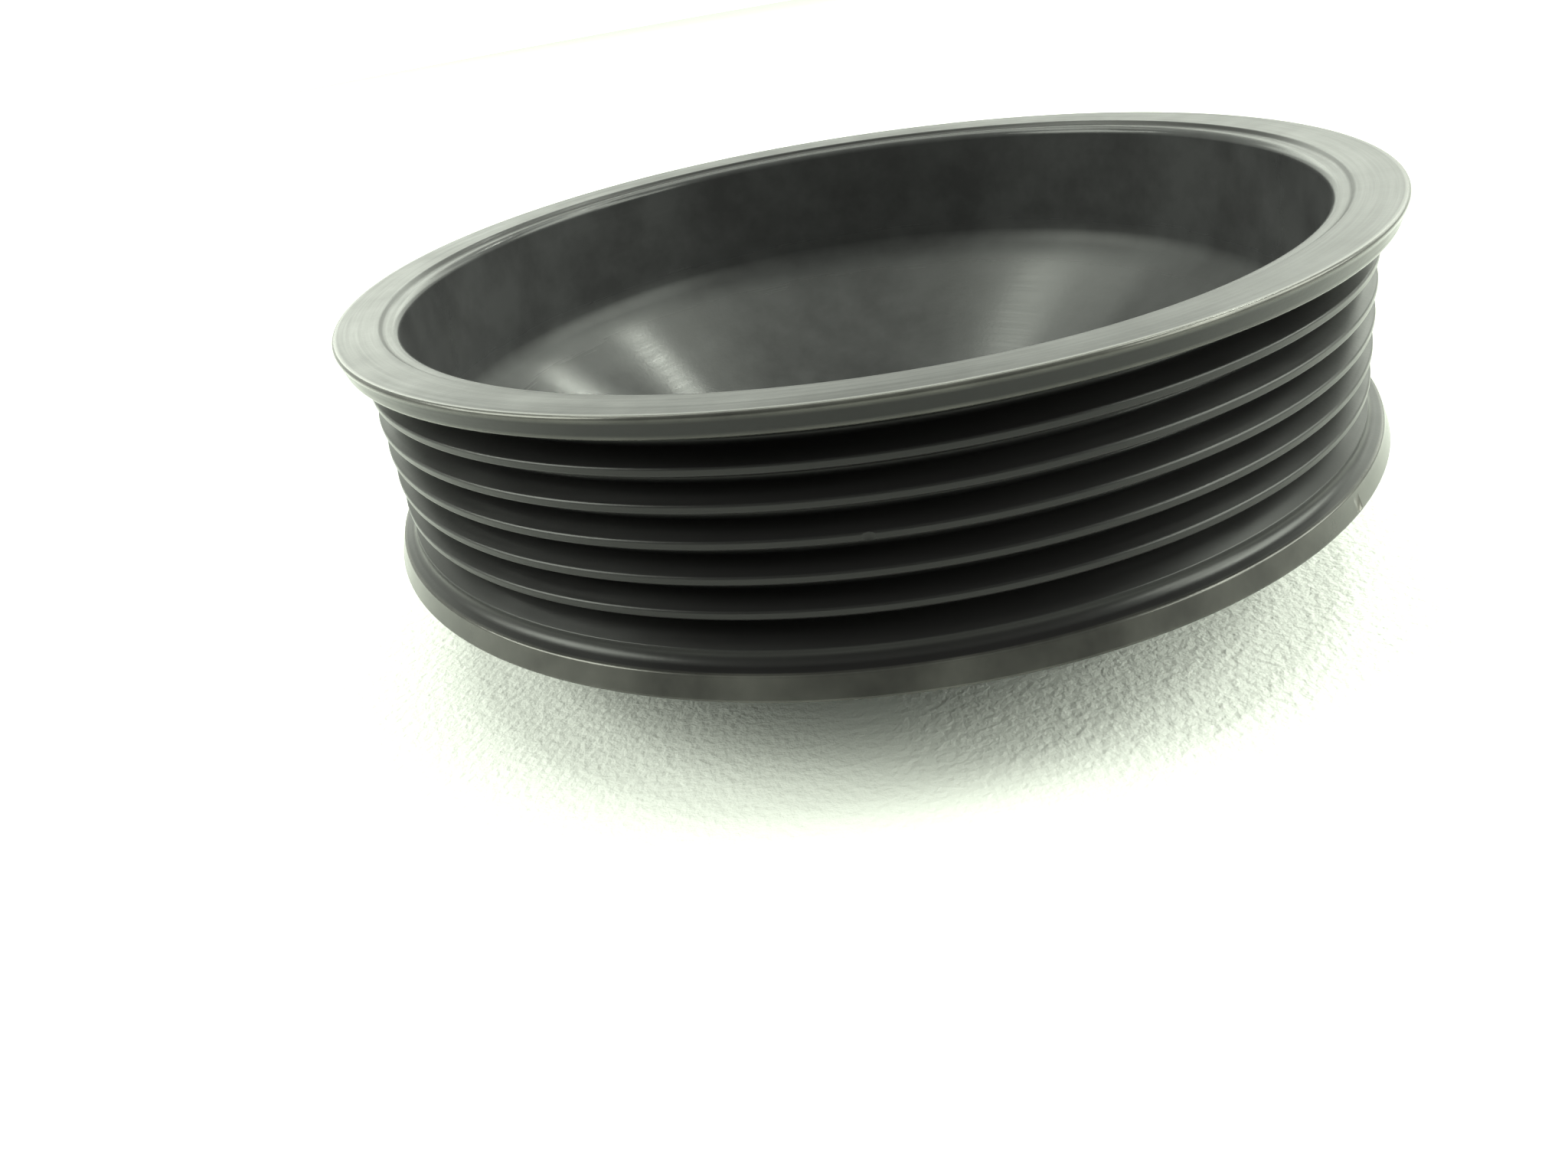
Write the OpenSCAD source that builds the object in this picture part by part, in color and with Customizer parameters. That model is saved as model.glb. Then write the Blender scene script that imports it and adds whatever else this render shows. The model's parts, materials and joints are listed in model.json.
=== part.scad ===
// Water pump pulley for a multi-rib belt, made in one piece: a grooved rim between two flanges,
// a cup open at the front, and a dished web that carries the bolted hub behind the rim.
// Millimetres, +Z up. The origin is the centre of the hub's mounting face, and +Z leaves the cup's mouth.

/* [Belt grooves] */
// Number of V grooves round the rim
groove_count = 6; // [2:1:6]
// Distance from one groove to the next along the axis
groove_pitch = 3.56; // [3.4:0.01:3.6]
// Angle between the two walls of a groove, in degrees
groove_angle = 40; // [38:1:44]
// Radius over the rib crests
crest_r = 59.6; // [59.3:0.1:59.9]
// Width along the axis of the flat on top of a rib
crest_flat = 0.8; // [0.6:0.05:1]
// Rounding of a rib's two edges
crest_edge_r = 0.3; // [0.1:0.05:0.35]
// Rounding at the bottom of a groove
groove_root_r = 0.45; // [0.3:0.05:0.5]
// Depth of the first groove's centre below the front face
first_groove_depth = 4.4; // [4.2:0.05:4.5]

/* [Front flange] */
// Outer radius of the flange at the front face
front_flange_r = 62.1; // [61.7:0.1:62.5]
// Radius of the flange's outer side where it meets the first groove's wall
front_flange_low_r = 61.4; // [61:0.1:61.7]
// Radius inside which the front face falls towards the cup
face_bend_r = 59.5; // [58.5:0.1:60.5]
// How far the front face falls by its inner edge
face_drop = 0.17; // [0.1:0.01:0.2]
// Rounding of the flange's outer edges
front_edge_r = 0.35; // [0.1:0.05:0.5]

/* [Mouth] */
// Radius of the front face's inner edge, where a shallow step starts
step_r = 56.75; // [56.6:0.05:57]
// Depth of the ledge below the front face's highest part
step_depth = 0.65; // [0.6:0.05:0.7]
// Steepness of the step's wall, in degrees
step_slope = 45; // [40:1:50]
// Rounding of the step's upper edge
step_edge_r = 0.4; // [0.2:0.05:0.4]
// Rounding at the foot of the step
step_root_r = 0.6; // [0.3:0.05:0.6]
// Radius of the cup's wall at the mouth
cup_r = 54.6; // [54.3:0.05:54.7]
// Rounding from the step's ledge into the cup
lip_r = 1; // [0.8:0.1:1.1]
// Draft of the cup's wall, in degrees
cup_draft = 0.8; // [0.2:0.1:1.5]

/* [Back flange] */
// Width of the rim, from the front face to the back of the back flange
rim_w = 28.2; // [28.1:0.1:28.8]
// Outer radius of the flange at the back, where it is widest
back_flange_r = 62.3; // [61.8:0.1:63]
// Radius of the flange's outer side at its upper edge
back_shoulder_r = 61.4; // [61:0.1:61.7]
// Thickness of the flange at its outer side
back_flange_t = 2.5; // [2.3:0.1:2.7]
// Slope of the flange's upper side, down towards its outer edge, in degrees
back_flange_slope = 15; // [10:1:20]
// Rounding of the flange's outer edges
back_edge_r = 0.3; // [0.1:0.05:0.5]
// Rounding between the rim and the flange
back_root_r = 1.1; // [0.6:0.1:1.1]
// How much lower the last groove ends than an even pitch would put it
land_drop = 0.45; // [0.3:0.05:0.6]
// Rounding of the last groove's outer edge
land_edge_r = 0.15; // [0.1:0.05:0.2]

/* [Web and hub] */
// Height of the pulley, from the hub's mounting face to the front face
height = 41; // [39:0.5:43]
// Thickness of the web and the hub
web_t = 4; // [3:0.1:4.5]
// Depth below the front face where the web leaves the cup's wall
web_depth = 17; // [16.5:0.5:18]
// Rounding between the cup's wall and the web
web_edge_r = 3; // [2:0.5:4]
// Radius of the hub's floor inside the cup
hub_r = 29.5; // [29:0.5:30]
// Rounding between the web and the hub's floor
hub_bend_r = 5; // [3:0.5:7]
// Radius of the rim's inner wall behind the web
skirt_r = 54; // [53.5:0.1:54.5]
// Rounding between that wall and the back of the web
skirt_root_r = 2; // [1:0.5:2]

/* [Hub holes] */
// Diameter of the pilot bore, which centres the pulley on the pump's flange
pilot_d = 20; // [16:0.5:24]
// Bevel at both ends of the pilot bore
pilot_bevel = 0.5; // [0.2:0.1:0.8]
// Number of bolt holes
bolt_count = 4; // [3:1:6]
// Diameter of a bolt hole
bolt_d = 8.5; // [6.6:0.1:9]
// Diameter of the bolt circle
bolt_circle_d = 38; // [37:0.5:40]

/* [Wear] */
// Depth of a dent below the surface that it marks
dent_depth = 0.15; // [0.1:0.05:0.3]
// Radius of the round nose that left a dent
dent_nose_r = 1.3; // [1:0.1:3]
// Direction of the dent on the third rib, in degrees round the axis
rib_dent_turn = -97; // [-180:1:180]
// Direction of the dent on the front flange's edge
front_dent_turn = -67; // [-180:1:180]
// Direction of the dent on the back flange's outer side
back_dent_turn = -45; // [-180:1:180]

/* [Hidden] */
$fn = 180;
// Largest turn of one straight stretch of a rounded corner of the section, in degrees
arc_step = 18;
// Largest length of one such stretch
arc_length = 0.6;
// Rounding of the skirt's free edge
skirt_edge_r = 0.4;
// How far a drill reaches past the faces that it opens
past = 1;

front_z = height;
rim_back_z = front_z - rim_w;
ledge_z = front_z - step_depth;
face_low_z = front_z - face_drop;
step_foot_r = step_r - (face_low_z - ledge_z) / tan(step_slope);
back_flange_z = rim_back_z + back_flange_t;

// A groove is a V, whose walls would meet at apex_r without the rounding at its bottom.
wall_slope = tan(groove_angle / 2);
half_mouth = (groove_pitch - crest_flat) / 2;
apex_r = crest_r - half_mouth / wall_slope;
function groove_z(i) = front_z - first_groove_depth - i * groove_pitch;

// The front flange's inner wall is the first groove's wall, carried on to the flange's outer side.
front_flange_low_z = groove_z(0) + half_mouth + (front_flange_low_r - crest_r) * wall_slope;

// The last groove ends in a narrow land, which runs in a wide rounding into the back flange.
land_z = groove_z(groove_count - 1) - half_mouth - land_drop;
back_root_z = back_flange_z + (back_shoulder_r - crest_r) * tan(back_flange_slope);

// The web is a cone of one thickness, from the cup's wall down to the hub.
web_top_z = front_z - web_depth;
web_top_r = cup_r - (web_depth - step_depth) * tan(cup_draft);
web_slope = atan2(web_top_z - web_t, web_top_r - hub_r);
hub_back_r = hub_r + web_t * tan(web_slope / 2);
web_back_z = (skirt_r - hub_back_r) * tan(web_slope);
pilot_r = pilot_d / 2;

// A corner of the section: its distance from the axis, its height and its rounding.
function corner(r, z, rounding = 0) = [r, z, rounding];
function place(c) = [c[0], c[1]];
function unit(v) = v / norm(v);
function cross_z(a, b) = a[0] * b[1] - a[1] * b[0];

// The points of one rounded corner: an arc that touches both of the corner's sides.
function rounded(before, at, after) =
    let (
        inward = unit(place(at) - place(before)),
        outward = unit(place(after) - place(at)),
        turn = atan2(cross_z(inward, outward), inward * outward),
        side = sign(turn),
        start = place(at) - inward * at[2] * tan(abs(turn) / 2),
        centre = start + side * at[2] * [-inward[1], inward[0]],
        steps = ceil(max(abs(turn) / arc_step, abs(turn) * PI / 180 * at[2] / arc_length))
    )
    at[2] == 0 ? [place(at)] : [
        for (i = [0:steps])
            let (a = turn * i / steps, spoke = start - centre)
            centre + [spoke[0] * cos(a) - spoke[1] * sin(a), spoke[0] * sin(a) + spoke[1] * cos(a)]
    ];

// An outline whose corners are all rounded.
function outline(corners) =
    let (n = len(corners))
    [for (i = [0:n - 1]) each rounded(corners[(i + n - 1) % n], corners[i], corners[(i + 1) % n])];

// The corners from one flange to the other: each groove's bottom, then the rib below it. The last groove has
// no rib below it.
function groove_corners() = [
    for (i = [0:groove_count - 1]) each [
        corner(apex_r, groove_z(i), groove_root_r),
        if (i < groove_count - 1) each [
            corner(crest_r, groove_z(i) - half_mouth, crest_edge_r),
            corner(crest_r, groove_z(i + 1) + half_mouth, crest_edge_r)
        ]
    ]
];

// Half of the pulley's section: along the front face, down the belt side, back along the underside
// of the web to the pilot bore, and up the inside of the cup.
module section() {
    polygon(outline(concat(
        [
            corner(step_r, face_low_z, step_edge_r),
            corner(face_bend_r, front_z),
            corner(front_flange_r, front_z, front_edge_r),
            corner(front_flange_low_r, front_flange_low_z, front_edge_r)
        ],
        groove_corners(),
        [
            corner(crest_r, land_z, land_edge_r),
            corner(crest_r, back_root_z, back_root_r),
            corner(back_shoulder_r, back_flange_z, back_edge_r),
            corner(back_flange_r, rim_back_z, back_edge_r),
            corner(skirt_r, rim_back_z, skirt_edge_r),
            corner(skirt_r, web_back_z, skirt_root_r),
            corner(hub_back_r, 0, hub_bend_r + web_t),
            corner(pilot_r + pilot_bevel, 0),
            corner(pilot_r, pilot_bevel),
            corner(pilot_r, web_t - pilot_bevel),
            corner(pilot_r + pilot_bevel, web_t),
            corner(hub_r, web_t, hub_bend_r),
            corner(web_top_r, web_top_z, web_edge_r),
            corner(cup_r, ledge_z, lip_r),
            corner(step_foot_r, ledge_z, step_root_r)
        ]
    )));
}

// The holes for the bolts that clamp the hub to the pump's flange.
module bolt_holes() {
    for (i = [0:bolt_count - 1])
        rotate(i * 360 / bolt_count)
            translate([bolt_circle_d / 2, 0, -past])
                cylinder(d = bolt_d, h = web_t + 2 * past);
}

// A dent left by a round nose in a surface of radius r, at one height and direction.
module dent(r, z, turn) {
    rotate(turn)
        translate([r + dent_nose_r - dent_depth, 0, z])
            sphere(r = dent_nose_r);
}

module pulley() {
    color("#26282b")
        difference() {
            rotate_extrude() section();
            bolt_holes();
            dent(crest_r, groove_z(2) - groove_pitch / 2, rib_dent_turn);
            dent(front_flange_r, front_z, front_dent_turn);
            dent((back_shoulder_r + back_flange_r) / 2, rim_back_z + back_flange_t / 2, back_dent_turn);
        }
}

pulley();
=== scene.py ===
"""Water pump pulley for a multi-rib belt: its finish, its fine edges and a pale stage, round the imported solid."""

import json
import math

import bpy
import numpy as np
from bpy.props import FloatProperty, FloatVectorProperty, IntProperty, PointerProperty
from mathutils import Matrix, Vector


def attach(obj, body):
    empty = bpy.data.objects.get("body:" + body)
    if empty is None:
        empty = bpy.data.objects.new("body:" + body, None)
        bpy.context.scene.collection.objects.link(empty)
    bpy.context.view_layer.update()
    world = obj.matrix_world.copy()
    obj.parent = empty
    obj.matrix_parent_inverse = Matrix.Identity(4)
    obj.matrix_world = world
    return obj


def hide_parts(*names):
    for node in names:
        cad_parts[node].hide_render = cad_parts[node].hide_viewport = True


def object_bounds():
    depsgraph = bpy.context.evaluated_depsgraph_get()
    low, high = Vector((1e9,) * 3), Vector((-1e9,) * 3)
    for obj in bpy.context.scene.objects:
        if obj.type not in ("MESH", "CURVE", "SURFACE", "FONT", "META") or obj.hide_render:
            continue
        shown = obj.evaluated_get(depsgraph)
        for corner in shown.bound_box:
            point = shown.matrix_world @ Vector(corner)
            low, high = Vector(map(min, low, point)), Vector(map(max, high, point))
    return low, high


bl_info = {
    "name": "Water Pump Pulley",
    "version": (1, 0, 0),
    "blender": (4, 5, 0),
    "location": "3D Viewport > Sidebar > Pulley",
    "description": "Makes a dip-coated steel pulley for a multi-rib belt, and a stage to look at it on",
    "category": "Add Mesh",
}

MM = 0.001
WELD_DISTANCE = 0.0001 * MM
SPOKE_STEPS = 8
DENTED_RIB = 2
DENT_REACH = 1.3
FLOOR_TURNS = 96
FLOOR_RINGS = 4
FLOOR_MIDDLE = 0.001
LIGHT_DISTANCE = 1.0

# Between these two values lies nearly all of a noise texture.
NOISE_LOW, NOISE_HIGH = 0.35, 0.65
# Sockets of a Mix node: its share, its two numbers, its two colours, and the output that gives a colour.
MIX_SHARE, NUMBER_A, NUMBER_B, COLOUR_A, COLOUR_B, COLOUR_OUT = 0, 2, 3, 6, 7, 2

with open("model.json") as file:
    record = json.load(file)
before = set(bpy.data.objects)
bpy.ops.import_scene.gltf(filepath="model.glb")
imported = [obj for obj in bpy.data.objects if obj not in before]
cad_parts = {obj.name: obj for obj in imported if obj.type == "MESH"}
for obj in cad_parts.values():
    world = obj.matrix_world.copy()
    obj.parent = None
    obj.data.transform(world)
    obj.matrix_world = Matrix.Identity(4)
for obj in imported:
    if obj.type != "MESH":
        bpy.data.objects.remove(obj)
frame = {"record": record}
SOLID_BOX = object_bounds()
MOUNT_DIMS = {mount["name"]: mount["dims"] for mount in frame["record"]["mounts"]}


def length(name, description, default_mm):
    """A size property. Its default is given in millimetres and it is kept in metres."""
    return FloatProperty(name=name, description=description, default=default_mm * MM, unit="LENGTH", precision=5)


def turn(name, description, default_deg):
    """An angle property. Its default is given in degrees and it is kept in radians."""
    return FloatProperty(name=name, description=description, default=math.radians(default_deg), subtype="ANGLE")


def finish_colour(name, description, default_hex):
    """A colour property. Its default is an sRGB hex value."""
    return FloatVectorProperty(
        name=name, description=description, default=linear_colour(default_hex)[:3], subtype="COLOR", min=0, max=1
    )


def linear_colour(hex_value):
    """An sRGB hex value such as 1a1b1d as linear red, green, blue and alpha, by the sRGB standard's own curve."""
    srgb = np.array([int(hex_value[i:i + 2], 16) for i in (0, 2, 4)]) / 255
    low, high = srgb / 12.92, ((srgb + 0.055) / 1.055) ** 2.4
    return (*(float(c) for c in np.where(srgb <= 0.04045, low, high)), 1.0)


class GrooveSizes(bpy.types.PropertyGroup):
    """The belt side of the rim."""
    count: IntProperty(name="Grooves", description="Number of V grooves round the rim", default=6, min=1)
    pitch: length("Pitch", "Distance from one groove to the next along the axis", 3.56)
    angle: turn("Angle", "Angle between the two walls of a groove", 40)
    crest_r: length("Crest radius", "Radius over the rib crests", 59.6)
    crest_flat: length("Crest flat", "Width along the axis of the flat on top of a rib", 0.8)
    crest_edge_r: length("Crest edge", "Rounding of a rib's two edges", 0.3)
    root_r: length("Root rounding", "Rounding at the bottom of a groove", 0.45)
    first_depth: length("First groove", "Depth of the first groove's centre below the front face", 4.4)
    land_drop: length("Land drop", "How much lower the last groove ends than an even pitch would put it", 0.45)
    land_edge_r: length("Land edge", "Rounding of the last groove's outer edge", 0.15)


class RimSizes(bpy.types.PropertyGroup):
    """The two flanges and the cup's mouth."""
    front_r: length("Front flange radius", "Outer radius of the flange at the front face", 62.1)
    front_low_r: length("Front flange foot", "Radius of its outer side at the first groove's wall", 61.4)
    face_bend_r: length("Face bend", "Radius inside which the front face falls towards the cup", 59.5)
    face_drop: length("Face drop", "How far the front face falls by its inner edge", 0.17)
    face_soft_r: length("Face bend rounding", "Rounding where the front face starts to fall", 12)
    front_edge_r: length("Front edge", "Rounding of the front flange's outer edges", 0.35)
    step_r: length("Step radius", "Radius of the front face's inner edge, where the shallow step starts", 56.75)
    step_slope: turn("Step slope", "Steepness of the step's wall", 45)
    step_depth: length("Step depth", "Depth of the step below the front face", 0.65)
    step_edge_r: length("Step edge", "Rounding of the step's upper edge", 0.4)
    step_root_r: length("Step root", "Rounding at the foot of the step", 0.6)
    cup_r: length("Cup radius", "Radius of the cup's wall at the mouth", 54.6)
    lip_r: length("Lip", "Rounding from the step's ledge into the cup", 1.0)
    cup_draft: turn("Cup draft", "Draft of the cup's wall", 0.8)
    width: length("Rim width", "Width from the front face to the back of the back flange", 28.2)
    back_r: length("Back flange radius", "Outer radius of the flange at the back", 62.3)
    shoulder_r: length("Shoulder radius", "Radius of the back flange's outer side at its upper edge", 61.4)
    back_t: length("Back flange thickness", "Thickness of the back flange at its outer side", 2.5)
    back_slope: turn("Back flange slope", "Slope of its upper side, down towards the outer edge", 15)
    back_edge_r: length("Back edge", "Rounding of the back flange's outer edges", 0.3)
    back_root_r: length("Back root", "Rounding between the rim and the back flange", 1.1)
    edge_break_r: length("Edge break", "Rounding that takes the sharpness off an edge", 0.15)


class HubSizes(bpy.types.PropertyGroup):
    """The web, the hub and the holes in it."""
    height: length("Height", "From the hub's mounting face to the front face", SOLID_BOX[1].z / MM)
    web_t: length("Web thickness", "Thickness of the web and the hub", 4)
    web_depth: length("Web depth", "Depth below the front face where the web leaves the cup's wall", 17)
    web_edge_r: length("Web edge", "Rounding between the cup's wall and the web", 3)
    hub_r: length("Hub radius", "Radius of the hub's floor inside the cup", 29.5)
    hub_bend_r: length("Hub bend", "Rounding between the web and the hub's floor", 5)
    skirt_r: length("Skirt radius", "Radius of the rim's inner wall behind the web", 54)
    skirt_root_r: length("Skirt root", "Rounding between that wall and the back of the web", 2)
    skirt_edge_r: length("Skirt edge", "Rounding of that wall's free edge", 0.4)
    pilot_r: length("Pilot radius", "Radius of the bore that centres the pulley", MOUNT_DIMS["pilot_bore"]["r_mm"])
    pilot_bevel: length("Pilot bevel", "Bevel at both ends of the pilot bore", 0.5)
    bolt_count: IntProperty(
        name="Bolt holes", description="Number of bolt holes", default=MOUNT_DIMS["hub_bolts"]["count"], min=3
    )
    bolt_r: length("Bolt hole radius", "Radius of a bolt hole", MOUNT_DIMS["hub_bolts"]["hole_r_mm"])
    bolt_edge_r: length("Bolt hole edge", "Rounding at both ends of a bolt hole", 0.25)
    bolt_circle_r: length("Bolt circle", "Radius of the bolt circle", MOUNT_DIMS["hub_bolts"]["pcd_mm"] / 2)
    plate_margin: length("Plate margin", "Width of the hub's plate outside and inside the bolt holes", 2.2)


class WearSizes(bpy.types.PropertyGroup):
    """The knocks that the pulley has taken, and the painted sheen on the back flange's outer side."""
    dent_depth: length("Dent depth", "Depth of a dent below the surface that it marks", 0.15)
    nose_r: length("Nose radius", "Radius of the round nose that left a dent", 1.3)
    rib_turn: turn("Rib dent", "Direction of the dent on the third rib", -97)
    front_turn: turn("Front dent", "Direction of the dent on the front flange's edge", -67)
    back_turn: turn("Back dent", "Direction of the dent on the back flange's outer side", -45)
    # Painted sheen: how far the back flange's outer side is turned to the rubbed grey and metal, so that it shows
    # lighter.
    back_rub: FloatProperty(
        name="Back rub", description="How far the back flange's outer side is rubbed", subtype="FACTOR",
        default=0.6, min=0, max=1,
    )


class MeshSteps(bpy.types.PropertyGroup):
    """How finely the surfaces are divided."""
    turns: IntProperty(
        name="Turns", description="Divisions round the axis, a multiple of the number of bolt holes", default=200
    )
    dent_turns: IntProperty(name="Dent turns", description="Extra divisions across each dent", default=20)
    arc_turn: turn("Arc step", "Largest turn of one stretch of a rounded corner", 16)
    arc_length: length("Arc length", "Largest length of one stretch of a rounded corner", 0.5)
    edge_band: length("Edge band", "Width beside a rounded edge over which its wear fades", 0.35)


class Finish(bpy.types.PropertyGroup):
    """Colours of the coat, the bared metal and the stage."""
    coat: finish_colour("Coat", "Black dip coat", "171617")
    dusty: finish_colour("Dusty coat", "The coat inside the cup, where dust has settled on it", "363637")
    # This grey marks rubbed edges, and it also gives the back flange's outer side its painted sheen.
    rubbed: finish_colour("Rubbed coat", "Steel that shows through the coat where it is rubbed", "6e6d69")
    steel: finish_colour("Bared steel", "Steel bared by a knock", "a8a49c")
    paper: finish_colour("Table", "White paper under the pulley", "dcdeda")


class StageSizes(bpy.types.PropertyGroup):
    """The camera, the floor and the light's colour."""
    camera_place: FloatVectorProperty(
        name="Camera", description="Where the camera stands", subtype="TRANSLATION",
        default=(-0.0151, -0.1512, 0.0744),
    )
    camera_pitch: turn("Camera pitch", "How far the camera looks down", 28.59)
    camera_roll: turn("Camera roll", "How far the camera is held off level", -10.02)
    camera_lens: FloatProperty(name="Lens", description="Focal length", default=27.9, unit="CAMERA")
    floor_r: FloatProperty(name="Floor", description="Radius of the floor", default=1.2, unit="LENGTH")
    light: finish_colour("Light", "Colour of the lights and of the room", "f8fff1")


class PulleySettings(bpy.types.PropertyGroup):
    """Everything that a user may change."""
    grooves: PointerProperty(type=GrooveSizes)
    rim: PointerProperty(type=RimSizes)
    hub: PointerProperty(type=HubSizes)
    wear: PointerProperty(type=WearSizes)
    steps: PointerProperty(type=MeshSteps)
    finish: PointerProperty(type=Finish)
    stage: PointerProperty(type=StageSizes)


def groove_z(settings, number):
    """Height of a groove's centre. The first groove is number 0, and each next one is a pitch lower."""
    grooves = settings.grooves
    return settings.hub.height - grooves.first_depth - number * grooves.pitch


def belt_corners(settings):
    """Corners of the belt side, as rows of radius, height and rounding. A groove is a V whose two walls would
    meet at its apex. The front flange's inner wall is the first groove's wall carried on to the flange's outer
    side, and the last groove ends in a land, a little lower than the pitch would put it."""
    grooves, rim = settings.grooves, settings.rim
    slope = math.tan(grooves.angle / 2)
    half_mouth = (grooves.pitch - grooves.crest_flat) / 2
    middle = groove_z(settings, np.arange(grooves.count))
    groove = np.array([
        [grooves.crest_r, half_mouth, grooves.crest_edge_r],
        [grooves.crest_r - half_mouth / slope, 0, grooves.root_r],
        [grooves.crest_r, -half_mouth, grooves.crest_edge_r],
    ])
    corners = np.tile(groove, (grooves.count, 1))
    corners[:, 1] += np.repeat(middle, len(groove))
    flange_low = middle[0] + half_mouth + (rim.front_low_r - grooves.crest_r) * slope
    land = [grooves.crest_r, corners[-1, 1] - grooves.land_drop, grooves.land_edge_r]
    return np.vstack([[rim.front_low_r, flange_low, rim.front_edge_r], corners[1:-1], land])


def hub_plate(settings):
    """Inner and outer radius of the flat ring in which the bolt holes lie."""
    hub = settings.hub
    reach = hub.bolt_r + hub.plate_margin
    return hub.bolt_circle_r - reach, hub.bolt_circle_r + reach


def rim_corners(settings):
    """Corners of the section from the hub's floor up the cup, over the front face, down the belt side and back
    along the underside to the hub's mounting face, as rows of radius, height and rounding."""
    grooves, rim, hub = settings.grooves, settings.rim, settings.hub
    plate_outer_r = hub_plate(settings)[1]
    web_top_z = hub.height - hub.web_depth
    web_top_r = rim.cup_r - (hub.web_depth - rim.step_depth) * math.tan(rim.cup_draft)
    web_slope = math.atan2(web_top_z - hub.web_t, web_top_r - hub.hub_r)
    hub_back_r = hub.hub_r + hub.web_t * math.tan(web_slope / 2)
    web_back_z = (hub.skirt_r - hub_back_r) * math.tan(web_slope)
    face_low_z = hub.height - rim.face_drop
    ledge_z = hub.height - rim.step_depth
    rim_back_z = hub.height - rim.width
    flange_z = rim_back_z + rim.back_t
    back_root_z = flange_z + (rim.shoulder_r - grooves.crest_r) * math.tan(rim.back_slope)
    cup = [
        [plate_outer_r, hub.web_t, 0],
        [hub.hub_r, hub.web_t, hub.hub_bend_r],
        [web_top_r, web_top_z, hub.web_edge_r],
        [rim.cup_r, ledge_z, rim.lip_r],
        [rim.step_r - (face_low_z - ledge_z) / math.tan(rim.step_slope), ledge_z, rim.step_root_r],
        [rim.step_r, face_low_z, rim.step_edge_r],
        [rim.face_bend_r, hub.height, rim.face_soft_r],
        [rim.front_r, hub.height, rim.front_edge_r],
    ]
    back = [
        [grooves.crest_r, back_root_z, rim.back_root_r],
        [rim.shoulder_r, flange_z, rim.back_edge_r],
        [rim.back_r, rim_back_z, rim.back_edge_r],
        [hub.skirt_r, rim_back_z, hub.skirt_edge_r],
        [hub.skirt_r, web_back_z, hub.skirt_root_r],
        [hub_back_r, 0, hub.hub_bend_r + hub.web_t],
        [plate_outer_r, 0, 0],
    ]
    return np.vstack([cup, belt_corners(settings), back])


def pilot_corners(settings):
    """Corners of the pilot bore's wall, from the mounting face up to the hub's floor."""
    hub = settings.hub
    plate_inner_r = hub_plate(settings)[0]
    bevel_r = hub.pilot_r + hub.pilot_bevel
    edge_break_r = settings.rim.edge_break_r
    return np.array([
        [plate_inner_r, 0, 0],
        [bevel_r, 0, edge_break_r],
        [hub.pilot_r, hub.pilot_bevel, edge_break_r],
        [hub.pilot_r, hub.web_t - hub.pilot_bevel, edge_break_r],
        [bevel_r, hub.web_t, edge_break_r],
        [plate_inner_r, hub.web_t, 0],
    ])


def bolt_hole_corners(settings):
    """Corners of a bolt hole's wall, from the mounting face up to the hub's floor, about the hole's own axis."""
    hub = settings.hub
    rim_r = hub.bolt_r + 2 * hub.bolt_edge_r
    return np.array([
        [rim_r, 0, 0],
        [hub.bolt_r, 0, hub.bolt_edge_r],
        [hub.bolt_r, hub.web_t, hub.bolt_edge_r],
        [rim_r, hub.web_t, 0],
    ])


def rounded_outline(corners, steps):
    """An open outline with its corners rounded. Each corner becomes the arc that touches both of its sides: the
    arc starts rounding * tan(half the turn) before the corner, and turns about the centre that lies one rounding
    to the side. A side gets one more point beside each arc, where the wear of the edge has faded. Returns the
    points, their outward normals and how sharp the outward edge is there, which is e to the power of minus its
    rounding over twice the edge band, and 0 in a hollow corner and on a side."""
    at, rounding = corners[:, :2], corners[1:-1, 2]
    sides = np.diff(at, axis=0)
    lengths = np.linalg.norm(sides, axis=1)
    ways = sides / lengths[:, None]
    inward, outward = ways[:-1], ways[1:]
    cross = inward[:, 0] * outward[:, 1] - inward[:, 1] * outward[:, 0]
    turns = np.arctan2(cross, np.sum(inward * outward, axis=1))
    tangent = rounding * np.tan(np.abs(turns) / 2)
    start = at[1:-1] - inward * tangent[:, None]
    left = np.stack([-inward[:, 1], inward[:, 0]], axis=1)
    centre = start + left * (np.sign(turns) * rounding)[:, None]
    by_turn = np.abs(turns) / steps.arc_turn
    by_length = np.abs(turns) * rounding / steps.arc_length
    counts = np.maximum(np.ceil(np.maximum(by_turn, by_length)).astype(int), 1) + 1
    arc = np.repeat(np.arange(len(turns)), counts)
    step = np.arange(len(arc)) - np.repeat(np.cumsum(counts) - counts, counts)
    angle = turns[arc] * step / (counts[arc] - 1)
    arc_points = centre[arc] + rotated((start - centre)[arc], angle)
    arc_normals = rotated(left[arc], angle)
    sharpness = np.where(turns < 0, np.exp(-rounding / (2 * steps.edge_band)), 0)[arc]
    before = np.concatenate([[0], tangent])
    after = np.concatenate([tangent, [0]])
    straight = lengths - before - after
    inset = np.minimum(steps.edge_band, straight / 3)
    side_normals = np.stack([-ways[:, 1], ways[:, 0]], axis=1)
    first = at[:-1] + ways * (before + inset)[:, None]
    last = at[1:] - ways * (after + inset)[:, None]
    side = np.arange(len(sides))
    # Places in the row: side n's two points come at 4n - 1 and 4n + 1, and the arc after it at 4n + 2.
    order = np.concatenate([arc * 4 + 2, side * 4 - 1, side * 4 + 1, [-3, 4 * len(sides)]])
    points = np.vstack([arc_points, first, last, at[:1], at[-1:]])
    normals = np.vstack([arc_normals, side_normals, side_normals, side_normals[:1], side_normals[-1:]])
    sharp = np.concatenate([sharpness, np.zeros(2 * len(sides) + 2)])
    rank = np.argsort(order, kind="stable")
    return points[rank], normals[rank], sharp[rank]


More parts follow.
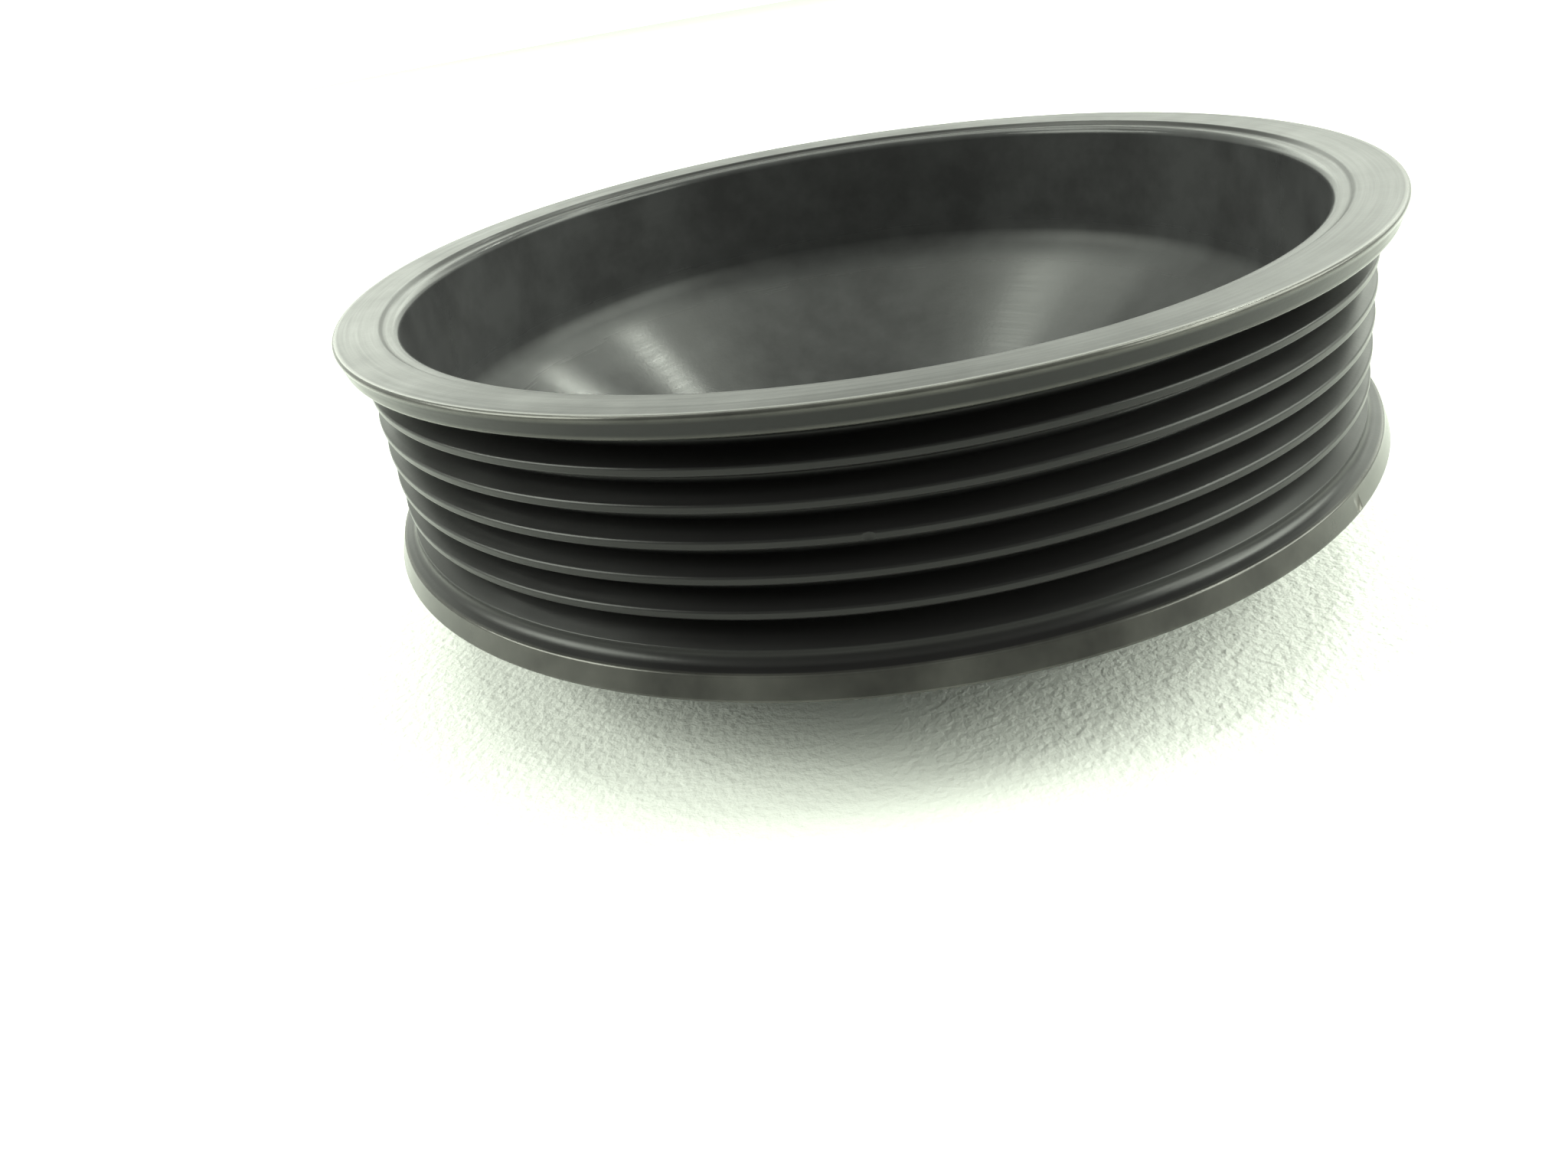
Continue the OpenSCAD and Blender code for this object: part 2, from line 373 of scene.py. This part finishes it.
def rotated(vectors, angle):
    """Each vector of a plane turned by its own angle."""
    c, s = np.cos(angle), np.sin(angle)
    return np.stack([vectors[:, 0] * c - vectors[:, 1] * s, vectors[:, 0] * s + vectors[:, 1] * c], axis=1)


def revolved(outline, angles):
    """A surface of revolution: at outline point (r, z) and angle a it is (r cos a, r sin a, z). Returns points,
    normals, sharpness and the grid's four-sided faces, closed round the axis."""
    points, normals, sharp = outline
    c, s = np.cos(angles), np.sin(angles)
    rows, columns = len(points), len(angles)

    def carried(flat):
        radial, z = flat[:, 0][:, None], np.broadcast_to(flat[:, 1][:, None], (rows, columns))
        return np.stack([radial * c, radial * s, z], axis=2).reshape(-1, 3)

    return carried(points), carried(normals), np.repeat(sharp, columns), grid_faces(rows, columns)


def grid_faces(rows, columns):
    """Faces of a grid that is open from row to row and closed from the last column to the first."""
    row, column = np.meshgrid(np.arange(rows - 1), np.arange(columns), indexing="ij")
    near, far = row * columns + column, row * columns + (column + 1) % columns
    return np.stack([near, near + columns, far + columns, far], axis=2).reshape(-1, 4)


def turn_angles(settings):
    """Angles round the axis: even steps, with finer ones a little further than across each dent, whose half width
    is the root of twice the nose's radius times the dent's depth."""
    wear, steps = settings.wear, settings.steps
    even = np.arange(steps.turns) * 2 * np.pi / steps.turns
    half_width = DENT_REACH * math.sqrt(2 * wear.nose_r * wear.dent_depth) / settings.grooves.crest_r
    across = np.linspace(-half_width, half_width, steps.dent_turns)
    dents = np.array([wear.rib_turn, wear.front_turn, wear.back_turn])
    return np.union1d(even, np.mod(dents[:, None] + across, 2 * np.pi).ravel())


def hub_sector(settings, angles, number, z, up):
    """The flat part of the hub round one bolt hole: straight lines from the hole's circle to the outline of the
    hole's share of the plate, which takes the ring's own angles along its two arcs so that the pieces meet."""
    hub = settings.hub
    inner_r, outer_r = hub_plate(settings)
    share = 2 * np.pi / hub.bolt_count
    middle = number * share
    near = np.mod(angles - middle + np.pi, 2 * np.pi) - np.pi
    arc = np.sort(near[np.abs(near) <= share / 2 + WELD_DISTANCE])
    across = np.linspace(0, 1, SPOKE_STEPS + 1)[1:-1]
    edge_r = outer_r + (inner_r - outer_r) * across
    radius = np.concatenate([np.full(len(arc), outer_r), edge_r, np.full(len(arc), inner_r), edge_r[::-1]])
    angle = np.concatenate([arc, np.full(len(across), arc[-1]), arc[::-1], np.full(len(across), arc[0])]) + middle
    outline = np.stack([radius * np.cos(angle), radius * np.sin(angle)], axis=1)
    centre = hub.bolt_circle_r * np.array([math.cos(middle), math.sin(middle)])
    away = outline - centre
    round_hole = away / np.linalg.norm(away, axis=1)[:, None]
    circle = centre + round_hole * (hub.bolt_r + 2 * hub.bolt_edge_r)
    flat = np.vstack([outline, circle])
    points = np.column_stack([flat, np.full(len(flat), z)])
    normals = np.tile([0.0, 0.0, 1.0 if up else -1.0], (len(flat), 1))
    faces = grid_faces(2, len(outline))
    return points, normals, np.zeros(len(flat)), faces[:, ::-1] if up else faces


def bolt_hole(settings, angles, number):
    """The wall of one bolt hole: its outline carried round the hole's own axis, at the angles at which the hub's
    flat part meets it."""
    hub = settings.hub
    middle = number * 2 * np.pi / hub.bolt_count
    centre = hub.bolt_circle_r * np.array([math.cos(middle), math.sin(middle), 0])
    flat = hub_sector(settings, angles, number, 0, True)[0]
    away = flat[len(flat) // 2:] - centre
    round_hole = np.arctan2(away[:, 1], away[:, 0])
    outline = rounded_outline(bolt_hole_corners(settings), settings.steps)
    points, normals, sharp, faces = revolved(outline, round_hole)
    return points + centre, normals, sharp, faces


def knock_centres(settings):
    """Centre of the round nose that left each dent: on the third rib's crest, on the front flange's outer edge
    and half way down the back flange's outer side, out from it by the nose's radius less the dent's depth."""
    grooves, rim, wear = settings.grooves, settings.rim, settings.wear
    height = settings.hub.height
    rib_z = groove_z(settings, DENTED_RIB) - grooves.pitch / 2
    out = wear.nose_r - wear.dent_depth
    turns = np.array([wear.rib_turn, wear.front_turn, wear.back_turn])
    radii = np.array([grooves.crest_r, rim.front_r, (rim.shoulder_r + rim.back_r) / 2]) + out
    heights = np.array([rib_z, height, height - rim.width + rim.back_t / 2])
    return np.stack([radii * np.cos(turns), radii * np.sin(turns), heights], axis=1)


def dented(points, normals, centres, nose_r):
    """Points inside a nose's ball are pushed out to its surface, straight away from its centre, and their normals
    point back to it. Returns points, normals and how far each point is within a knock's mark, which goes from 0
    to 1 over the outer tenth of the nose's radius."""
    away = points[:, None] - centres
    distance = np.linalg.norm(away, axis=2)
    nearest = np.argmin(distance, axis=1)
    row = np.arange(len(points))
    distance = distance[row, nearest][:, None]
    spoke = away[row, nearest] / distance
    inside = distance < nose_r
    fade = 0.1 * nose_r
    marked = np.clip((nose_r - distance) / fade, 0, 1)
    pushed = np.where(inside, centres[nearest] + spoke * nose_r, points)
    return pushed, np.where(inside, -spoke, normals), marked[:, 0]


def welded(patches):
    """Joins patches to one closed surface: points that lie within the weld distance of each other become one, and
    each face is renumbered to them."""
    starts = np.cumsum([0] + [len(patch[0]) for patch in patches[:-1]])
    points = np.vstack([patch[0] for patch in patches])
    normals = np.vstack([patch[1] for patch in patches])
    sharp = np.concatenate([patch[2] for patch in patches])
    faces = np.vstack([patch[3] + start for patch, start in zip(patches, starts)])
    key = np.round(points / WELD_DISTANCE).astype(np.int64)
    kept, renumbered = np.unique(key, axis=0, return_index=True, return_inverse=True)[1:]
    return points[kept], normals[kept], sharp[kept], renumbered.reshape(-1)[faces]


def pulley_surface(settings):
    """The whole skin of the pulley: the rim's and the pilot bore's outlines revolved, the flat rings round the bolt
    holes above and below, the holes' walls, and the dents pressed into them. The flanges' dents are worn bright,
    and the rib's dent has been blackened again by the belt."""
    angles = turn_angles(settings)
    web_t = settings.hub.web_t
    patches = [
        revolved(rounded_outline(rim_corners(settings), settings.steps), angles),
        revolved(rounded_outline(pilot_corners(settings), settings.steps), angles),
    ]
    for number in range(settings.hub.bolt_count):
        patches.append(hub_sector(settings, angles, number, web_t, True))
        patches.append(hub_sector(settings, angles, number, 0, False))
        patches.append(bolt_hole(settings, angles, number))
    points, normals, sharp, faces = welded(patches)
    in_cup, rub_and_painted_sheen = finish_shares(settings, points, normals, sharp)
    on_flange = np.hypot(points[:, 0], points[:, 1]) > settings.grooves.crest_r + WELD_DISTANCE
    points, normals, knocked = dented(points, normals, knock_centres(settings), settings.wear.nose_r)
    return points, normals, faces, {"rub_and_painted_sheen": rub_and_painted_sheen, "knocked": knocked * on_flange, "cup": in_cup}


def finish_shares(settings, points, normals, sharp):
    """Whether each point is inside the cup, and its share of rubbing and painted sheen. The flanges' outer edges
    and the hub's edges are rubbed by handling. The back flange's outer side gets a painted sheen instead: the
    rubbed grey and metal, which make it show lighter. All edges between them have kept their coat."""
    grooves, rim, hub = settings.grooves, settings.rim, settings.hub
    radius, height = np.hypot(points[:, 0], points[:, 1]), points[:, 2]
    faces_down = normals[:, 2] < -0.1
    in_cup = (radius < rim.cup_r + rim.lip_r / 2) & (height > hub.web_t / 2) & ~faces_down
    coated = (radius > hub.hub_r) & (radius < grooves.crest_r + WELD_DISTANCE)
    # Sharp edges are rubbed, and the back flange's outer side gets the painted sheen.
    back_side = (radius > rim.shoulder_r - rim.back_edge_r) & (height < hub.height - rim.width + rim.back_t)
    rub_and_painted_sheen = np.where(coated, 0, np.maximum(sharp, settings.wear.back_rub * back_side))
    return in_cup, rub_and_painted_sheen


def mesh_piece(name, points, normals, faces, values, material):
    """A mesh object at the origin, smooth with the given normals, with one point attribute for each named value."""
    mesh = bpy.data.meshes.new(name)
    mesh.from_pydata(points, [], faces)
    mesh.shade_smooth()
    mesh.normals_split_custom_set_from_vertices(normals)
    for key, value in values.items():
        mesh.attributes.new(key, "FLOAT", "POINT").data.foreach_set("value", value.astype(np.float32))
    mesh.materials.append(material)
    piece = bpy.data.objects.new(name, mesh)
    bpy.context.scene.collection.objects.link(piece)
    return piece


def add_node(tree, kind, inputs=None, **settings):
    """Adds a node. The settings are its own properties, and inputs gives a value or another node's output for each
    socket, by name or number."""
    node = tree.nodes.new(kind)
    for name, value in settings.items():
        setattr(node, name, value)
    for socket, value in (inputs or {}).items():
        if isinstance(value, bpy.types.NodeSocket):
            tree.links.new(value, node.inputs[socket])
        else:
            node.inputs[socket].default_value = value
    return node


def new_material(name):
    """An empty node material, and its tree and output node."""
    material = bpy.data.materials.new(name)
    material.use_nodes = True
    material.node_tree.nodes.clear()
    output = add_node(material.node_tree, "ShaderNodeOutputMaterial")
    return material, material.node_tree, output


def opaque(colour):
    """A colour property's value with full alpha."""
    return (*colour, 1.0)


def turning_streaks(tree, place, spacing, sweep):
    """Fine streaks left by a lathe: noise over the radius and the height, that is drawn out round the axis. It is
    read at (cos a, sin a) * sweep and (radius + height) / spacing, so the streaks close on themselves."""
    flat = add_node(tree, "ShaderNodeVectorMath", {0: place, 1: (1, 1, 0)}, operation="MULTIPLY").outputs[0]
    way = add_node(tree, "ShaderNodeVectorMath", {0: flat}, operation="NORMALIZE").outputs[0]
    radius = add_node(tree, "ShaderNodeVectorMath", {0: flat}, operation="LENGTH").outputs["Value"]
    height = add_node(tree, "ShaderNodeSeparateXYZ", {0: place}).outputs["Z"]
    across = add_node(tree, "ShaderNodeMath", {0: radius, 1: height}, operation="ADD").outputs[0]
    rings = add_node(tree, "ShaderNodeMath", {0: across, 1: spacing}, operation="DIVIDE").outputs[0]
    lift = add_node(tree, "ShaderNodeCombineXYZ", {"Z": rings}).outputs[0]
    spread = add_node(
        tree, "ShaderNodeVectorMath", {0: way, 1: (sweep, sweep, 0), 2: lift}, operation="MULTIPLY_ADD"
    ).outputs[0]
    return add_node(
        tree, "ShaderNodeTexNoise", {"Vector": spread, "Scale": 1.0, "Detail": 2.0, "Roughness": 0.6}
    ).outputs["Fac"]


def dip_coat_material(finish, corner_z):
    """Cathodic dip coat on turned steel: a thin black paint of low gloss, that lets the lathe's fine rings show
    through. It is rubbed through to grey, smooth steel along the edges, lies dull in the cup's corner, whose
    height is given, and is worn towards the steel where it was knocked. The back flange's outer side carries a
    painted sheen: the same grey and metal, which make it show lighter."""
    material, tree, output = new_material("black_dip_coat_on_turned_steel")
    place = add_node(tree, "ShaderNodeTexCoord").outputs["Object"]
    rub_and_painted_sheen = add_node(tree, "ShaderNodeAttribute", attribute_name="rub_and_painted_sheen").outputs["Fac"]
    knocked = add_node(tree, "ShaderNodeAttribute", attribute_name="knocked").outputs["Fac"]
    cup = add_node(tree, "ShaderNodeAttribute", attribute_name="cup").outputs["Fac"]

    # The lathe's rings lie about 0.1 mm apart on the real part. They are drawn 0.4 mm apart, so that they show.
    streaks = turning_streaks(tree, place, spacing=0.4 * MM, sweep=3.0)
    # The paint's own grain, like fine orange peel, about 0.5 mm across.
    grain = add_node(
        tree, "ShaderNodeTexNoise", {"Vector": place, "Scale": 1 / (0.5 * MM), "Detail": 3.0}
    ).outputs["Fac"]
    # Handling marks and thin spots, in clouds about 9 mm across.
    clouds = add_node(
        tree, "ShaderNodeTexNoise", {"Vector": place, "Scale": 1 / (9 * MM), "Detail": 4.0, "Roughness": 0.6}
    ).outputs["Fac"]

    # Dust lies in the cup in the same clouds.
    dust_share = add_node(tree, "ShaderNodeMapRange", {
        "Value": clouds, "From Min": NOISE_LOW, "From Max": NOISE_HIGH, "To Min": 0.6, "To Max": 1.0,
    }).outputs[0]
    dust = add_node(tree, "ShaderNodeMath", {0: dust_share, 1: cup}, operation="MULTIPLY").outputs[0]
    dusty_colour = add_node(tree, "ShaderNodeMix", {
        MIX_SHARE: dust, COLOUR_A: opaque(finish.coat), COLOUR_B: opaque(finish.dusty),
    }, data_type="RGBA").outputs[COLOUR_OUT]
    # Rubbed edges turn towards the rubbed grey, and so does the back flange's outer side, as painted sheen.
    rubbed = add_node(tree, "ShaderNodeMath", {0: rub_and_painted_sheen, 1: clouds}, operation="MULTIPLY").outputs[0]
    coat_colour = add_node(tree, "ShaderNodeMix", {
        MIX_SHARE: rubbed, COLOUR_A: dusty_colour, COLOUR_B: opaque(finish.rubbed),
    }, data_type="RGBA").outputs[COLOUR_OUT]
    # A knock bares the steel only in part.
    worn = add_node(tree, "ShaderNodeMath", {0: knocked, 1: 0.15}, operation="MULTIPLY").outputs[0]
    colour = add_node(tree, "ShaderNodeMix", {
        MIX_SHARE: worn, COLOUR_A: coat_colour, COLOUR_B: opaque(finish.steel),
    }, data_type="RGBA").outputs[COLOUR_OUT]

    # Handling has dulled the outside a little more than the inside of the cup. Neither range of roughness takes
    # in 0.274, where the renderer's noise filter draws thin lines.
    marks = add_node(tree, "ShaderNodeMix", {MIX_SHARE: 0.5, NUMBER_A: clouds, NUMBER_B: streaks}).outputs[0]
    outside = add_node(tree, "ShaderNodeMapRange", {
        "Value": marks, "From Min": NOISE_LOW, "From Max": NOISE_HIGH, "To Min": 0.285, "To Max": 0.39,
    }).outputs[0]
    inside = add_node(tree, "ShaderNodeMapRange", {
        "Value": marks, "From Min": NOISE_LOW, "From Max": NOISE_HIGH, "To Min": 0.19, "To Max": 0.265,
    }).outputs[0]
    handled = add_node(tree, "ShaderNodeMix", {MIX_SHARE: cup, NUMBER_A: outside, NUMBER_B: inside}).outputs[0]
    polished = add_node(tree, "ShaderNodeMix", {MIX_SHARE: rub_and_painted_sheen, NUMBER_A: handled, NUMBER_B: 0.18}).outputs[0]

    # Paint and dust gather in the cup's corner, and fade over 2 mm of height on both sides of it. Their share is
    # a bell curve: 0.37, which is about 1 over e, to the power of the squared number of such widths.
    height = add_node(tree, "ShaderNodeSeparateXYZ", {0: place}).outputs["Z"]
    rise = add_node(tree, "ShaderNodeMath", {0: height, 1: corner_z}, operation="SUBTRACT").outputs[0]
    widths = add_node(tree, "ShaderNodeMath", {0: rise, 1: 2 * MM}, operation="DIVIDE").outputs[0]
    squared = add_node(tree, "ShaderNodeMath", {0: widths, 1: widths}, operation="MULTIPLY").outputs[0]
    bell = add_node(tree, "ShaderNodeMath", {0: 0.37, 1: squared}, operation="POWER").outputs[0]
    gathered = add_node(tree, "ShaderNodeMath", {0: bell, 1: cup}, operation="MULTIPLY").outputs[0]
    roughness = add_node(tree, "ShaderNodeMix", {MIX_SHARE: gathered, NUMBER_A: polished, NUMBER_B: 0.5}).outputs[0]

    ring_relief = add_node(
        tree, "ShaderNodeBump", {"Height": streaks, "Strength": 0.1, "Distance": 0.02 * MM}
    ).outputs[0]
    relief = add_node(
        tree, "ShaderNodeBump", {"Height": grain, "Strength": 0.35, "Distance": 0.02 * MM, "Normal": ring_relief}
    ).outputs[0]
    # The rings spread the light across themselves, so the spread is turned a quarter from the way round the axis.
    around = add_node(tree, "ShaderNodeTangent", direction_type="RADIAL", axis="Z").outputs[0]
    # The rubbed places reflect like the steel under the coat, and the back flange's outer side gets the same metal
    # as painted sheen.
    bare = add_node(tree, "ShaderNodeMath", {0: rub_and_painted_sheen, 1: 0.8}, operation="MULTIPLY").outputs[0]
    # A paint's IOR is about 1.5. It is lower here, matched to the faint reflections of the real coat.
    shader = add_node(tree, "ShaderNodeBsdfPrincipled", {
        "Base Color": colour, "Metallic": bare, "Roughness": roughness, "IOR": 1.32,
        "Anisotropic": 0.6, "Anisotropic Rotation": 0.25, "Normal": relief, "Tangent": around,
    })
    tree.links.new(shader.outputs[0], output.inputs["Surface"])
    return material


def paper_material(finish):
    """White drawing paper: matt, with a faint tooth that shows only in the shadow."""
    material, tree, output = new_material("white_matt_paper")
    place = add_node(tree, "ShaderNodeTexCoord").outputs["Object"]
    # The paper's tooth is about 1 mm across.
    tooth = add_node(tree, "ShaderNodeTexNoise", {"Vector": place, "Scale": 1 / MM, "Detail": 3.0}).outputs["Fac"]
    relief = add_node(tree, "ShaderNodeBump", {"Height": tooth, "Strength": 1.0, "Distance": 0.3 * MM}).outputs[0]
    shader = add_node(tree, "ShaderNodeBsdfPrincipled", {
        "Base Color": opaque(finish.paper), "Roughness": 0.9, "Specular IOR Level": 0.1, "Normal": relief,
    })
    tree.links.new(shader.outputs[0], output.inputs["Surface"])
    return material


def floor_surface(radius):
    """A flat round floor at the pulley's foot: rings of points at even angles, from a small middle one outwards."""
    angles = np.arange(FLOOR_TURNS) * 2 * np.pi / FLOOR_TURNS
    radii = radius * np.linspace(FLOOR_MIDDLE, 1, FLOOR_RINGS)
    points = np.stack([
        np.outer(radii, np.cos(angles)), np.outer(radii, np.sin(angles)), np.zeros((FLOOR_RINGS, FLOOR_TURNS))
    ], axis=2).reshape(-1, 3)
    faces = [list(face) for face in grid_faces(FLOOR_RINGS, FLOOR_TURNS)]
    faces.append(list(range(FLOOR_TURNS)))
    return points, np.tile([0.0, 0.0, 1.0], (len(points), 1)), faces


def add_softbox(name, colour, heading, height, size, radiance):
    """An area light that faces the pulley. Its heading is counted from +X towards +Y and its height is the angle
    above the floor, both in degrees. Its power is its radiance * pi * its area."""
    light = bpy.data.lights.new(name, "AREA")
    light.shape = "RECTANGLE"
    light.size, light.size_y = size
    light.color = colour[:3]
    light.energy = radiance * math.pi * size[0] * size[1]
    lamp = bpy.data.objects.new(name, light)
    bpy.context.scene.collection.objects.link(lamp)
    heading, height = math.radians(heading), math.radians(height)
    away = Vector((math.cos(heading) * math.cos(height), math.sin(heading) * math.cos(height), math.sin(height)))
    lamp.location = away * LIGHT_DISTANCE
    lamp.rotation_euler = away.to_track_quat("Z", "Y").to_euler()


def add_world(colour, front, back):
    """A room that is brighter behind the pulley than in front of it. Its strength is a straight line over the
    direction's share along +Y, from front at -Y to back at +Y."""
    world = bpy.data.worlds.new("pale_room")
    world.use_nodes = True
    tree = world.node_tree
    direction = add_node(tree, "ShaderNodeTexCoord").outputs["Generated"]
    along = add_node(tree, "ShaderNodeSeparateXYZ", {0: direction}).outputs["Y"]
    strength = add_node(
        tree, "ShaderNodeMapRange", {"Value": along, "From Min": -1.0, "To Min": front, "To Max": back}
    ).outputs[0]
    background = tree.nodes["Background"]
    background.inputs["Color"].default_value = colour
    tree.links.new(strength, background.inputs["Strength"])
    bpy.context.scene.world = world


def add_camera(stage):
    """The camera at the photograph's place, looking along +Y, tipped down and rolled."""
    camera = bpy.data.cameras.new("camera")
    camera.lens = stage.camera_lens
    camera.clip_start = 1 * MM
    holder = bpy.data.objects.new("camera", camera)
    bpy.context.scene.collection.objects.link(holder)
    tip = Matrix.Rotation(math.pi / 2 - stage.camera_pitch, 4, "X")
    roll = Matrix.Rotation(stage.camera_roll, 4, "Z")
    holder.matrix_world = Matrix.Translation(stage.camera_place) @ tip @ roll
    bpy.context.scene.camera = holder


class PULLEY_OT_add_pulley(bpy.types.Operator):
    """Make the dip-coated pulley over its solid"""
    bl_idname = "pulley.add_pulley"
    bl_label = "Pulley"

    def execute(self, context):
        settings = context.scene.pulley_settings
        points, normals, faces, values = pulley_surface(settings)
        material = dip_coat_material(settings.finish, settings.hub.height - settings.hub.web_depth)
        piece = mesh_piece("coated_pulley", points, normals, faces, values, material)
        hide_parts("pulley")
        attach(piece, "root")
        return {"FINISHED"}


class PULLEY_OT_add_stage(bpy.types.Operator):
    """Make the floor, the lights and the camera"""
    bl_idname = "pulley.add_stage"
    bl_label = "Stage"

    def execute(self, context):
        settings = context.scene.pulley_settings
        add_camera(settings.stage)
        points, normals, faces = floor_surface(settings.stage.floor_r)
        floor = mesh_piece("floor", points, normals, faces, {}, paper_material(settings.finish))
        light = opaque(settings.stage.light)
        add_world(light, front=0.15, back=1.7)
        add_softbox("top_softbox", light, heading=90, height=69, size=(1.0, 0.55), radiance=4.5)
        add_softbox("back_softbox", light, heading=75, height=24, size=(1.8, 0.25), radiance=3.2)
        add_softbox("left_softbox", light, heading=184, height=35, size=(0.5, 0.5), radiance=13)
        add_softbox("right_softbox", light, heading=1, height=33, size=(0.5, 0.5), radiance=10)
        add_softbox("front_softbox", light, heading=330, height=25, size=(0.4, 0.4), radiance=12)
        add_softbox("fan_softbox", light, heading=149, height=62, size=(0.16, 0.16), radiance=11)
        add_softbox("edge_softbox", light, heading=354, height=46, size=(0.4, 0.08), radiance=20)
        add_softbox("lamp_left", light, heading=160, height=33, size=(0.1, 0.1), radiance=35)
        add_softbox("lamp_low", light, heading=47, height=41, size=(0.06, 0.06), radiance=115)
        add_softbox("lamp_high", light, heading=28, height=57, size=(0.05, 0.05), radiance=170)
        context.scene.view_settings.view_transform = "Standard"
        return {"FINISHED"}


class PULLEY_PT_panel(bpy.types.Panel):
    """Lists what makes the pulley"""
    bl_idname = "PULLEY_PT_panel"
    bl_label = "Water Pump Pulley"
    bl_space_type = "VIEW_3D"
    bl_region_type = "UI"
    bl_category = "Pulley"

    def draw(self, context):
        for operator in OPERATORS:
            self.layout.operator(operator.bl_idname)
        settings = context.scene.pulley_settings
        for group_name in PulleySettings.__annotations__:
            box = self.layout.box()
            box.label(text=group_name.capitalize())
            group = getattr(settings, group_name)
            for size_name in type(group).__annotations__:
                box.prop(group, size_name)


OPERATORS = (PULLEY_OT_add_stage, PULLEY_OT_add_pulley)
CLASSES = (
    GrooveSizes, RimSizes, HubSizes, WearSizes, MeshSteps, Finish, StageSizes, PulleySettings,
    *OPERATORS, PULLEY_PT_panel,
)


def register():
    for cls in CLASSES:
        bpy.utils.register_class(cls)
    bpy.types.Scene.pulley_settings = PointerProperty(type=PulleySettings)


def unregister():
    del bpy.types.Scene.pulley_settings
    for cls in reversed(CLASSES):
        bpy.utils.unregister_class(cls)


def main():
    register()
    bpy.ops.pulley.add_stage()
    bpy.ops.pulley.add_pulley()


if __name__ == "__main__":
    main()
